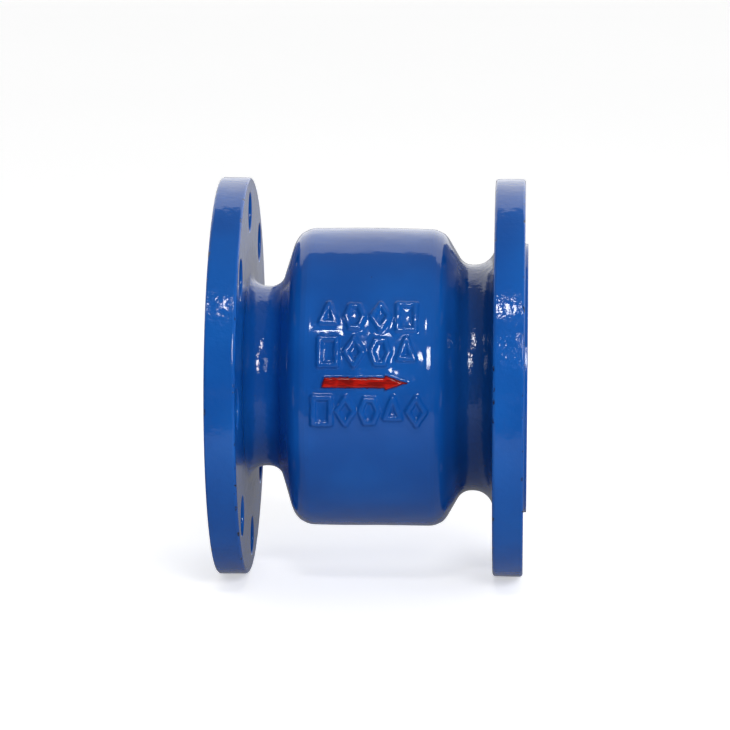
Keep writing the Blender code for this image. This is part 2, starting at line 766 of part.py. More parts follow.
clear_scene()
VALVE = new_collection("check_valve")
CUTTERS = new_collection("cutters")
FIXED = flow_frame("fixed_parts")
MOVING = flow_frame("disc_assembly")
bpy.context.view_layer.update()

make_body()
make_seat_ring()
add_piece(torus("seat_o_ring", 36.95, 0.75, O_RING_PLACE), FIXED, RUBBER)
make_seat_screws()
bush("inlet_bush", INLET_JOURNAL + GAP, 7.0, INLET_HUB_LOW + 0.5, INLET_HUB_HIGH - 0.5)
make_disc()
make_disc_seal()
make_seal_retainer()
make_retainer_screws()
make_stem()
make_stem_washer()
make_stem_nut()
make_spring()
make_outlet_guide()
bush("outlet_bush", OUTLET_JOURNAL + GAP, GUIDE_BORE - GAP, GUIDE_SLEEVE_START + 0.5, GUIDE_SLEEVE_START + 30.5)
make_retaining_ring()
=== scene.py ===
"""The looks of the flanged silent check valve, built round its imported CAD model. Flow runs along +X."""

import math

import bmesh
import bpy
import numpy as np
from mathutils import Matrix, Vector, noise


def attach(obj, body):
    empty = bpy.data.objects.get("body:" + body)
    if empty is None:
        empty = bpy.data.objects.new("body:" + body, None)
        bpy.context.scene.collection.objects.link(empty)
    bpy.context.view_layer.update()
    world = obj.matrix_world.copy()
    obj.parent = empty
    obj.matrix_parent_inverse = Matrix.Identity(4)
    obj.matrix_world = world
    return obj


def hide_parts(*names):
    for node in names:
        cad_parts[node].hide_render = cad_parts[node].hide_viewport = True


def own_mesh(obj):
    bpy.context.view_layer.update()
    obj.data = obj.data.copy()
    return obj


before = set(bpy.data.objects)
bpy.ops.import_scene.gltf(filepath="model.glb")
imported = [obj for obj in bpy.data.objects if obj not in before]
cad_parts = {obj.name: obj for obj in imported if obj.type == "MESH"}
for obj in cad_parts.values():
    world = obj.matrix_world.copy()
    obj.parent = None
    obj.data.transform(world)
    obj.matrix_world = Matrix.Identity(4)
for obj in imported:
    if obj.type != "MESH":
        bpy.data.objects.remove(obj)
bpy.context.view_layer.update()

MM = 0.001

# ---------------------------------------------------------------------------
# The valve's sizes in millimetres, the same as in the CAD model

FACE = 75.0  # half of the length over the flange faces
RAISED = 1.5
FLANGE_BACK = 59.0
FLANGE_R = 96.0
DRUM_R = 72.0
BOLT_CIRCLE_R = 80.0
BOLT_HOLE_R = 9.5
BOLTS = 8
GAP = 0.3

SEAT_BACK = -33.7
SEAT_FACE = SEAT_BACK + 8.0
SEAT_LIP = SEAT_FACE + 2.2
SEAL_FRONT = SEAT_LIP + GAP
SEAL_BACK = SEAL_FRONT + 4.0
DISC_FRONT = SEAL_BACK + GAP
RETAINER_FRONT = SEAL_FRONT - 0.8
SPRING_START = -8.0
SPRING_SEAT = 32.0
SLEEVE_START = 14.3
SEAT_SCREW_CIRCLE_R = 43.5
RETAINER_SCREW_CIRCLE_R = 22.0


# ---------------------------------------------------------------------------
# Outlines and meshes. An outline is a list of (radius, x) or (radius, x, fillet) corners.


def rounded(corners, closed=True, step=11.0):
    """The outline with an arc at each corner that states a fillet radius."""
    points = []
    count = len(corners)
    for i, corner in enumerate(corners):
        here = Vector(corner[:2])
        fillet = corner[2] if len(corner) > 2 else 0.0
        if fillet <= 0.0 or (not closed and i in (0, count - 1)):
            points.append(tuple(here))
            continue
        back = (Vector(corners[i - 1][:2]) - here).normalized()
        ahead = (Vector(corners[(i + 1) % count][:2]) - here).normalized()
        half = back.angle(ahead) / 2.0
        centre = here + (back + ahead).normalized() * fillet / math.sin(half)
        tangent = fillet / math.tan(half)
        first = here + back * tangent - centre
        last = here + ahead * tangent - centre
        turn = first.angle_signed(last)
        steps = max(2, math.ceil(abs(math.degrees(turn)) / step))
        for k in range(steps + 1):
            points.append(tuple(centre + Matrix.Rotation(-turn * k / steps, 2) @ first))
    return points


def divided(points, longest, closed=True):
    """The outline with extra points, so that no side is longer than longest(x, r) says for its middle."""
    out = []
    count = len(points)
    for i in range(count if closed else count - 1):
        a, b = np.array(points[i]), np.array(points[(i + 1) % count])
        middle = (a + b) / 2.0
        pieces = max(1, math.ceil(np.linalg.norm(b - a) / longest(middle[1], middle[0])))
        out += [tuple(a + (b - a) * k / pieces) for k in range(pieces)]
    if not closed:
        out.append(tuple(points[-1]))
    return out


def spin(outline, angles, closed=True):
    """Vertices and faces of an outline turned about the X axis. Angles go up from the front, in radians."""
    points = np.array(outline)
    rings, turns = len(points), len(angles)
    r, x = points[:, :1], points[:, 1:]
    y, z = -r * np.cos(angles), r * np.sin(angles)
    vertices = np.stack([np.broadcast_to(x, y.shape), y, z], axis=-1).reshape(-1, 3) * MM
    i, j = np.meshgrid(np.arange(rings if closed else rings - 1), np.arange(turns), indexing="ij")
    i2, j2 = (i + 1) % rings, (j + 1) % turns
    faces = np.stack([i * turns + j, i2 * turns + j, i2 * turns + j2, i * turns + j2], axis=-1).reshape(-1, 4)
    return vertices, faces


def finish_mesh(mesh, weld=0.0):
    shape = bmesh.new()
    shape.from_mesh(mesh)
    if weld:
        bmesh.ops.remove_doubles(shape, verts=shape.verts, dist=weld)
    bmesh.ops.recalc_face_normals(shape, faces=shape.faces)
    shape.to_mesh(mesh)
    shape.free()
    mesh.shade_smooth()


def link(obj):
    bpy.context.scene.collection.objects.link(obj)
    return obj


def lathe(name, corners, segments=128, closed=True, angles=None, longest=None, centre=None):
    """A turned object on the flow axis, or on a line parallel to it at centre (y, z)."""
    points = rounded(corners, closed)
    if longest:
        points = divided(points, longest, closed)
    if angles is None:
        angles = np.arange(segments) * 2.0 * math.pi / segments
    vertices, faces = spin(points, angles, closed)
    if centre:
        vertices = vertices + np.array([0.0, centre[0], centre[1]]) * MM
    mesh = bpy.data.meshes.new(name)
    mesh.from_pydata(vertices.tolist(), [], faces.tolist())
    finish_mesh(mesh, 0.0 if closed else 1e-7)
    return link(bpy.data.objects.new(name, mesh))


def plate(name, corners, thickness, turn, bevel=0.0):
    """A flat web with corners (radius, x), standing out from the axis at an angle up from the front."""
    mesh = bpy.data.meshes.new(name)
    shape = bmesh.new()
    sides = []
    for side in (-0.5, 0.5):
        sides.append([shape.verts.new((x * MM, -r * MM, side * thickness * MM)) for r, x in corners])
    shape.faces.new(sides[0])
    shape.faces.new(list(reversed(sides[1])))
    for k in range(len(corners)):
        n = (k + 1) % len(corners)
        shape.faces.new([sides[0][k], sides[1][k], sides[1][n], sides[0][n]])
    bmesh.ops.recalc_face_normals(shape, faces=shape.faces)
    shape.to_mesh(mesh)
    shape.free()
    mesh.transform(Matrix.Rotation(-math.radians(turn), 4, "X"))
    obj = link(bpy.data.objects.new(name, mesh))
    if bevel:
        modifier = obj.modifiers.new("Bevel", "BEVEL")
        modifier.width = bevel * MM
        modifier.segments = 3
        modifier.limit_method = "ANGLE"
    return obj


def evaluated(obj):
    """The object's mesh with its modifiers applied."""
    bpy.context.view_layer.update()
    graph = bpy.context.evaluated_depsgraph_get()
    return bpy.data.meshes.new_from_object(obj.evaluated_get(graph))


def joined(objects):
    """One object that holds the meshes of several, which are removed."""
    shape = bmesh.new()
    for obj in objects:
        mesh = evaluated(obj)
        shape.from_mesh(mesh)
        bpy.data.objects.remove(obj, do_unlink=True)
    mesh = bpy.data.meshes.new("joined")
    shape.to_mesh(mesh)
    shape.free()
    return link(bpy.data.objects.new("joined", mesh))


def combine(obj, others, operation):
    """Applies a Boolean of obj with each of the others, which are removed."""
    for other in others:
        modifier = obj.modifiers.new("Boolean", "BOOLEAN")
        modifier.operation = operation
        modifier.solver = "EXACT"
        modifier.object = other
        modifier.use_self = operation == "UNION"
        mesh = evaluated(obj)
        obj.modifiers.clear()
        obj.data = mesh
        bpy.data.objects.remove(other, do_unlink=True)
    return obj


def soften(obj):
    """Smooth shading that follows the larger faces."""
    obj.data.shade_smooth()
    modifier = obj.modifiers.new("WeightedNormal", "WEIGHTED_NORMAL")
    modifier.keep_sharp = True
    modifier.weight = 60


# ---------------------------------------------------------------------------
# The body casting

MARK_W, MARK_H, STROKE = 10.8, 15.2, 2.7
MARK_RISE, ARROW_RISE = 1.45, 1.9
# Each row of cast marks: its angle up from the front, the X of its first and last mark, and its shapes.
MARK_ROWS = (
    (33.9, -17.8, 18.6, ("triangle", "hexagon", "diamond", "square")),
    (20.2, -17.8, 18.6, ("square", "diamond", "hexagon", "triangle")),
    (-1.8, -20.5, 23.5, ("square", "diamond", "hexagon", "triangle", "diamond")),
)
# Each shape: how many corners it has, the angle of its first corner, and how far it is stretched.
SHAPES = {
    "triangle": (3, 90.0, 1.0),
    "square": (4, 45.0, math.sqrt(2.0)),
    "diamond": (4, 90.0, 1.0),
    "hexagon": (6, 60.0, 1.0),
}
ARROW_ELEVATION = 8.8
ARROW = ((-21.0, -2.7), (8.5, -2.7), (8.9, -3.8), (19.7, 0.0), (8.9, 3.8), (8.5, 2.7), (-19.6, 2.7))


def body_angles():
    """Angles round the body: close together across the cast marks, and wider apart elsewhere."""
    low, high = math.radians(-16.0), math.radians(46.0)
    fine = np.linspace(low, high, 170, endpoint=False)
    coarse = np.linspace(high, low + 2.0 * math.pi, 210, endpoint=False)
    return np.concatenate([fine, coarse])


def body_spacing(x, r):
    """The longest side that the body's outline may have near (x, r)."""
    if -29.0 < x < 31.0 and r > 70.0:
        return 0.4
    if r > 66.0 and abs(x) > 59.0 and abs(x) < 73.4:
        return 1.5
    if abs(x) < 59.0 and r > 40.0:
        return 1.6
    return 60.0


def make_body():
    corners = [
        (38.0, -FACE, 0.7),
        (65.0, -FACE, 0.5),
        (65.0, -FACE + RAISED, 0.4),
        (FLANGE_R, -FACE + RAISED, 1.3),
        (FLANGE_R, -FLANGE_BACK, 1.6),
        (43.7, -FLANGE_BACK, 8.0),
        (43.7, -44.0, 7.5),
        (DRUM_R, -35.06, 11.0),
        (DRUM_R, 34.07, 10.5),
        (54.6, 44.05, 7.5),
        (54.6, FLANGE_BACK, 9.5),
        (FLANGE_R, FLANGE_BACK, 1.6),
        (FLANGE_R, FACE - RAISED, 1.3),
        (65.0, FACE - RAISED, 0.4),
        (65.0, FACE, 0.5),
        (52.0, FACE, 0.5),
        (52.0, 73.3),
        (54.2, 73.3),
        (54.2, 71.5),
        (52.0, 71.5),
        (52.0, 62.5),
        (48.5, 62.5, 0.5),
        (48.5, 33.0, 8.0),
        (65.5, 33.0, 9.0),
        (65.5, -34.0, 9.0),
        (38.0, -34.0, 0.5),
    ]
    body = lathe("valve_body", corners, angles=body_angles(), longest=body_spacing)
    drills = []
    edge = 0.9
    for side in (-1, 1):
        front, back = side * (FACE - RAISED), side * FLANGE_BACK
        for k in range(BOLTS):
            angle = 2.0 * math.pi * k / BOLTS
            centre = (-BOLT_CIRCLE_R * math.cos(angle), BOLT_CIRCLE_R * math.sin(angle))
            wide = BOLT_HOLE_R + edge
            clear, beyond, above = wide + 0.3, side * 3.0, side * 0.1
            profile = [(0.0, front + beyond), (clear, front + beyond), (clear, front + above)]
            for turn in range(80, -1, -16):
                a = math.radians(turn)
                profile.append((wide - edge * math.cos(a), front - side * edge * (1.0 - math.sin(a))))
            for turn in range(0, 81, 16):
                a = math.radians(turn)
                profile.append((wide - edge * math.cos(a), back + side * edge * (1.0 - math.sin(a))))
            profile += [(clear, back - above), (clear, back - beyond), (0.0, back - beyond)]
            drills.append(lathe("drill", profile, 48, closed=False, centre=centre))
    combine(body, [joined(drills)], "DIFFERENCE")
    body.name = body.data.name = "valve_body"
    relief(body)
    return body


def ring_path(shape):
    """The middle line of a polygon ring's stroke, as closed points (across, up) about the mark's centre."""
    corners, start, stretch = SHAPES[shape]
    points = []
    for k in range(corners):
        angle = math.radians(start) + 2.0 * math.pi * k / corners
        across = math.cos(angle) * stretch * (MARK_W - STROKE) / 2.0
        points.append((across, math.sin(angle) * stretch * (MARK_H - STROKE) / 2.0))
    return points


def distance_to_path(p, q, path):
    """Distance from each point (p, q) to a closed polyline."""
    best = np.full(p.shape, 1e9)
    for (ax, ay), (bx, by) in zip(path, path[1:] + path[:1]):
        dx, dy = bx - ax, by - ay
        t = np.clip(((p - ax) * dx + (q - ay) * dy) / (dx * dx + dy * dy), 0.0, 1.0)
        best = np.minimum(best, np.hypot(p - ax - t * dx, q - ay - t * dy))
    return best


def inside(p, q, path):
    """Which points (p, q) lie inside a closed polyline."""
    odd = np.zeros(p.shape, bool)
    for (ax, ay), (bx, by) in zip(path, path[1:] + path[:1]):
        if ay == by:
            continue
        crosses = ((ay > q) != (by > q)) & (p < (bx - ax) * (q - ay) / (by - ay) + ax)
        odd ^= crosses
    return odd


def smooth(t):
    t = np.clip(t, 0.0, 1.0)
    return t * t * (3.0 - 2.0 * t)


def noise_at(points, scale, seed=0.0):
    shift = Vector((seed, seed * 1.7, seed * 0.3))
    return np.array([noise.noise(Vector(p) * scale + shift) for p in points])


def relief(body):
    """Raises the cast marks and the arrow, and gives the cast surfaces their slight unevenness."""
    mesh = body.data
    co = np.empty(len(mesh.vertices) * 3, np.float32)
    mesh.vertices.foreach_get("co", co)
    co = co.reshape(-1, 3).astype(float) / MM
    x, radius = co[:, 0], np.hypot(co[:, 1], co[:, 2])
    angle = np.arctan2(co[:, 2], -co[:, 1])
    height = np.zeros(len(co))
    arrow_mask = np.full(len(co), -5.0)
    on_drum = (radius > 70.0) & (np.abs(x) < 34.0)

    patch = on_drum & (np.abs(angle - math.radians(15.0)) < math.radians(40.0))
    px = x[patch]
    wander = noise_at(co[patch], 0.35, 3.0) * 0.25
    mark_height = np.zeros(len(px))
    nearest = np.full(len(px), 99.0)
    for elevation, first, last, shapes in MARK_ROWS:
        up = (angle[patch] - math.radians(elevation)) * DRUM_R
        for k, shape in enumerate(shapes):
            across = px - (first + (last - first) * k / (len(shapes) - 1))
            near = (np.abs(across) < 9.0) & (np.abs(up) < 12.0)
            away = distance_to_path(across[near], up[near], ring_path(shape)) + wander[near]
            nearest[near] = np.minimum(nearest[near], away)
            raised = MARK_RISE * smooth((STROKE / 2.0 + 0.75 - away) / 1.6)
            mark_height[near] = np.maximum(mark_height[near], raised)
    up = (angle[patch] - math.radians(ARROW_ELEVATION)) * DRUM_R
    path = list(ARROW)
    away = distance_to_path(px, up, path)
    signed = np.where(inside(px, up, path), away, -away)
    arrow = ARROW_RISE * smooth((signed + wander + 0.5) / 1.5)
    nearest = np.minimum(nearest, np.where(signed > 0.0, 0.0, -signed))
    # The paint pools unevenly between and around the marks.
    pooled = 0.26 + noise_at(co[patch], 0.15, 21.0) * 0.30 + noise_at(co[patch], 0.42, 27.0) * 0.07
    mark_height = np.maximum(mark_height, arrow) + pooled * smooth((5.0 - nearest) / 4.0)
    height[patch] += mark_height
    arrow_mask[patch] = signed

    # The flanges' faces, the bolt holes and the inside stay true.
    cast = (radius > 42.0) & (np.abs(x) < 72.6)
    cast &= ~((np.abs(x) > 58.4) & (radius < 94.0))
    cast &= ~((radius < 66.5) & (np.abs(x) < 33.0))
    cast &= ~((x > 33.0) & (radius < 53.0))
    uneven = noise_at(co[cast], 0.03, 5.0) * 0.35 + noise_at(co[cast], 0.11, 9.0) * 0.10
    height[cast] += uneven
    crown = np.where(on_drum, -0.18 * (x / 30.0) ** 2, 0.0)
    height += crown

    scale = 1.0 + height / np.maximum(radius, 1.0)
    co[:, 1] *= scale
    co[:, 2] *= scale
    mesh.vertices.foreach_set("co", (co * MM).astype(np.float32).ravel())
    layer = mesh.attributes.new("arrow", "FLOAT", "POINT")
    layer.data.foreach_set("value", arrow_mask.astype(np.float32))
    mesh.update()


# ---------------------------------------------------------------------------
# The pieces inside the body. Stations along X are those of the CAD model.


def drill(x0, x1, radius, centre=(0.0, 0.0), segments=48):
    """A plain cutter along X."""
    outline = [(0.0, x0), (radius, x0), (radius, x1), (0.0, x1)]
    return lathe("drill", outline, segments, closed=False, centre=centre)


def prism(x0, x1, across_flats, centre=(0.0, 0.0)):
    """A hexagonal bar along X."""
    return drill(x0, x1, across_flats / math.sqrt(3.0), centre, 6)


def screw_places(circle):
    """Four places on a circle, between the ribs."""
    for k in range(4):
        angle = math.radians(45.0 + 90.0 * k)
        yield k, (circle * math.sin(angle), -circle * math.cos(angle))


def make_seat_ring():
    corners = [
        (48.0, SEAT_BACK, 0.3), (48.0, SEAT_FACE, 0.7), (39.0, SEAT_FACE, 0.5), (38.6, SEAT_LIP, 0.5),
        (36.9, SEAT_LIP, 0.7), (34.8, SEAT_FACE - 1.0, 1.8), (34.8, -56.0, 0.6), (37.8, -56.0, 0.6),
        (37.8, -48.5), (35.9, -48.5), (35.9, -45.5), (37.8, -45.5), (37.8, SEAT_BACK),
    ]
    seat = lathe("valve_seat_ring", corners, 160)
    hub = [(9.8, -40.0, 1.0), (9.8, -60.0, 2.0), (7.05, -60.0, 0.5), (7.05, -40.0, 0.5)]
    web = [(8.0, -57.6), (35.6, -55.0), (35.6, -42.0), (8.0, -42.0)]
    combine(seat, [lathe("hub", hub, 96)], "UNION")
    combine(seat, [plate("web", web, 4.0, 45.0 + 90.0 * k, 1.7) for k in range(4)], "UNION")
    cutters = []
    for _, centre in screw_places(SEAT_SCREW_CIRCLE_R):
        cutters.append(drill(SEAT_BACK - 2.0, SEAT_FACE + 1.0, 2.3, centre))
    combine(seat, [joined(cutters)], "DIFFERENCE")
    floor, top = SEAT_FACE - 4.0, SEAT_FACE + 0.25
    sink = [(0.0, floor), (3.65, floor), (3.65, SEAT_FACE - 0.3), (4.2, top), (0.0, top)]
    cutters = []
    for _, centre in screw_places(SEAT_SCREW_CIRCLE_R):
        cutters.append(lathe("sink", sink, 48, closed=False, centre=centre))
    combine(seat, [joined(cutters)], "DIFFERENCE")
    return seat


def socket_screw(name, centre, top, head, shank_end, radius, key, outward):
    """A socket-head screw. outward is 1 when the head faces +X and -1 when it faces -X."""
    base = top - outward * head
    corners = [
        (0.0, top), (radius, top, 0.45), (radius, base, 0.15), (2.0, base, 0.0),
        (2.0, shank_end + outward * 0.6), (1.5, shank_end), (0.0, shank_end),
    ]
    screw = lathe(name, corners, 64, closed=False, centre=centre)
    depth = top - outward * 2.0
    socket = prism(min(depth, top + outward), max(depth, top + outward), key, centre)
    corner, above = key * 0.56, top + outward
    mouth = [(0.0, above), (corner + 0.6, above), (corner + 0.3, top), (0.0, top - outward * key * 0.5)]
    combine(screw, [socket, lathe("mouth", mouth, 48, closed=False, centre=centre)], "DIFFERENCE")
    return screw


def make_disc():
    corners = [
        (5.0, -8.0, 0.3), (16.2, -8.0, 0.8), (16.2, -4.0, 0.5), (18.0, -4.0, 0.7), (20.0, -7.6, 3.0),
        (42.7, -12.9, 1.2), (43.5, -15.5, 3.0), (43.5, -21.0, 0.6), (41.65, -21.0, 0.4),
        (41.65, DISC_FRONT), (5.0, DISC_FRONT),
    ]
    return lathe("valve_disc", corners, 160)


def make_disc_seal():
    step = SEAL_FRONT + 2.0
    corners = [
        (41.5, SEAL_BACK, 0.2), (41.5, SEAL_FRONT, 1.1), (34.9, SEAL_FRONT, 0.5), (34.9, step),
        (30.3, step), (30.3, SEAL_BACK),
    ]
    return lathe("valve_disc_seal", corners, 160)


def make_seal_retainer():
    step = SEAL_FRONT + 1.7
    corners = [
        (30.0, SEAL_BACK), (30.0, step), (34.7, step, 0.2), (34.7, RETAINER_FRONT, 0.9),
        (27.5, RETAINER_FRONT, 0.1), (27.2, RETAINER_FRONT + 0.3, 0.1), (26.9, RETAINER_FRONT, 0.1),
        (5.0, RETAINER_FRONT, 0.3), (5.0, SEAL_BACK),
    ]
    plate_ring = lathe("valve_seal_retainer", corners, 160)
    cutters = []
    for _, centre in screw_places(RETAINER_SCREW_CIRCLE_R):
        cutters.append(drill(RETAINER_FRONT - 1.0, SEAL_BACK + 1.0, 2.3, centre))
    return combine(plate_ring, [joined(cutters)], "DIFFERENCE")


def make_stem():
    """The stem has a collar behind the disc, and a threaded end that the nut is on."""
    corners = [(0.0, -70.0), (4.9, -70.0, 1.2), (4.9, -39.4), (4.3, -38.8), (4.3, -38.0)]
    pitch, turns = 1.25, 9
    for k in range(turns):
        start = -38.0 + k * pitch
        corners += [(4.3, start + 0.15), (4.9, start + 0.55), (4.9, start + 0.75), (4.3, start + 1.15)]
    corners += [
        (4.3, -26.0), (4.9, -25.4), (4.9, -7.7), (10.5, -7.7, 0.3), (10.5, -4.0, 0.8), (5.9, -4.0),
        (5.9, 50.0, 1.2), (2.1, 50.0, 0.2), (0.0, 48.2),
    ]
    return lathe("valve_stem", corners, 96, closed=False)


def make_stem_nut():
    nut = prism(-34.35, -26.35, 16.0)
    chamfer = [(0.0, -34.35), (7.6, -34.35), (9.5, -33.3), (9.5, -27.4), (7.6, -26.35), (0.0, -26.35)]
    combine(nut, [lathe("chamfer", chamfer, 96, closed=False)], "INTERSECT")
    bore = [
        (0.0, -35.0), (5.9, -35.0), (5.9, -34.3), (4.95, -33.6),
        (4.95, -27.1), (5.9, -26.4), (5.9, -25.0), (0.0, -25.0),
    ]
    combine(nut, [lathe("bore", bore, 96, closed=False)], "DIFFERENCE")
    nut.name = "valve_stem_nut"
    return nut


def make_spring():
    """A closed and ground compression spring, swept along its coil."""
    turns, end_pitch, wire, coil = 7.0, 2.7, 1.15, 13.4
    per_turn, sides = 56, 20
    start, end = SPRING_START + wire * 0.55, SPRING_SEAT - wire * 0.55
    pitch = (end - start - 2.0 * end_pitch) / (turns - 2.0)
    count = int(turns * per_turn) + 1
    turn = np.arange(count) / per_turn
    lead = np.minimum(turn, 1.0) + np.clip(turn - turns + 1.0, 0.0, 1.0)
    x = start + lead * end_pitch + np.clip(turn - 1.0, 0.0, turns - 2.0) * pitch
    angle = 2.0 * math.pi * turn
    # Local radius points to world -Z at the first turn, as in the CAD model.
    middle = np.stack([x, coil * np.sin(angle), -coil * np.cos(angle)], axis=1)
    ahead = np.gradient(middle, axis=0)
    ahead /= np.linalg.norm(ahead, axis=1)[:, None]
    out = np.stack([np.zeros(count), np.sin(angle), -np.cos(angle)], axis=1)
    side = np.cross(ahead, out)
    side /= np.linalg.norm(side, axis=1)[:, None]
    out = np.cross(side, ahead)
    round_ = (2.0 * math.pi * np.arange(sides) / sides)[None, :, None]
    ring = np.cos(round_) * out[:, None, :] + np.sin(round_) * side[:, None, :]
    points = middle[:, None, :] + wire * ring
    # The ends are ground flat, just clear of the disc and of the guide.
    points[:, :, 0] = np.clip(points[:, :, 0], SPRING_START + 0.1, SPRING_SEAT - 0.1)
    faces = []
    for i in range(count - 1):
        for j in range(sides):
            k = (j + 1) % sides
            faces.append((i * sides + j, i * sides + k, (i + 1) * sides + k, (i + 1) * sides + j))
    faces.append(tuple(range(sides)))
    faces.append(tuple((count - 1) * sides + j for j in reversed(range(sides))))
    mesh = bpy.data.meshes.new("valve_spring")
    mesh.from_pydata((points.reshape(-1, 3) * MM).tolist(), [], faces)
    finish_mesh(mesh)
    return link(bpy.data.objects.new("valve_spring", mesh))


def make_outlet_guide():
    ring = [(51.8, 70.8, 0.8), (51.8, 62.8, 0.3), (47.2, 62.8, 0.8), (45.5, 64.5, 1.2), (45.5, 70.8, 1.0)]
    guide = lathe("valve_outlet_guide", ring, 160)
    hub = [
        (9.0, 66.0, 0.4), (11.0, 66.0, 1.0), (13.0, 63.0, 2.0), (13.0, 42.0, 4.0), (17.0, 37.0, 2.5),
        (17.0, 32.0, 0.6), (11.5, 32.0, 0.4), (11.5, SLEEVE_START, 0.5), (9.0, SLEEVE_START, 0.3),
    ]
    web = [(10.6, 44.0), (47.0, 63.6), (47.0, 70.0), (10.6, 62.5)]
    combine(guide, [lathe("hub", hub, 96)], "UNION")
    combine(guide, [plate("web", web, 5.0, 90.0 * k, 2.0) for k in range(4)], "UNION")
    return guide


def make_retaining_ring():
    """An internal retaining ring with an eye at each end for the pliers. Its opening is at the top."""
    outer, inner, reach, hole, hole_circle = 53.9, 49.8, 45.6, 1.25, 47.6
    first, last = 9.0, 351.0

    def around(radius, start, end, steps):
        angles = np.radians(np.linspace(start, end, steps + 1))
        return [(radius * math.cos(a), radius * math.sin(a)) for a in angles]

    def eye(corner, arc_start, arc_end, other_corner):
        """The end of an eye: an arc nearest the axis, between two corners."""
        one = around(reach + 1.2, corner, corner, 0)
        other = around(reach + 1.2, other_corner, other_corner, 0)
        return one + around(reach, arc_start, arc_end, 4) + other

    outline = around(outer, first, last, 120)
    outline += eye(last, last - 1.6, last - 7.4, last - 9.0)
    outline += around(inner, last - 11.0, first + 11.0, 110)
    outline += eye(first + 9.0, first + 7.4, first + 1.6, first)
    curve = bpy.data.curves.new("ring", "CURVE")
    curve.dimensions = "2D"
    curve.fill_mode = "BOTH"
    curve.extrude = 0.6 * MM
    curve.bevel_depth = 0.15 * MM
    curve.offset = -0.15 * MM
    loops = [outline]
    for angle in (first + 4.5, last - 4.5):
        across, up = hole_circle * math.cos(math.radians(angle)), hole_circle * math.sin(math.radians(angle))
        loops.append([(across + u, up + v) for u, v in around(hole, 0.0, 345.0, 23)])
    for loop in loops:
        spline = curve.splines.new("POLY")
        spline.points.add(len(loop) - 1)
        for point, (u, v) in zip(spline.points, loop):
            point.co = (u * MM, v * MM, 0.0, 1.0)
        spline.use_cyclic_u = True
    holder = link(bpy.data.objects.new("ring", curve))
    # The outline's first axis points to world +Z, and its normal to +X.
    mesh = evaluated(holder)
    bpy.data.objects.remove(holder, do_unlink=True)
    turn = Matrix(((0.0, 0.0, 1.0), (0.0, 1.0, 0.0), (1.0, 0.0, 0.0))).to_4x4()
    mesh.transform(Matrix.Translation(Vector((72.4, 0.0, 0.0)) * MM) @ turn)
    finish_mesh(mesh, 1e-6)
    return link(bpy.data.objects.new("valve_retaining_ring", mesh))


def tube(name, inner, outer, x0, x1, fillet=0.4):
    """A plain ring or bush."""
    outline = [(inner, x0, fillet), (outer, x0, fillet), (outer, x1, fillet), (inner, x1, fillet)]
    return lathe(name, outline, 96)


def make_o_ring():
    radius, thick, place = 36.95, 0.75, -47.0
    turn = np.linspace(0.0, 2.0 * math.pi, 24, endpoint=False)
    corners = [(radius + thick * math.cos(a), place + thick * math.sin(a)) for a in turn]
    return lathe("valve_seat_o_ring", corners, 160)


# ---------------------------------------------------------------------------
# Materials. Coordinates in the nodes are metres in the object's own frame.


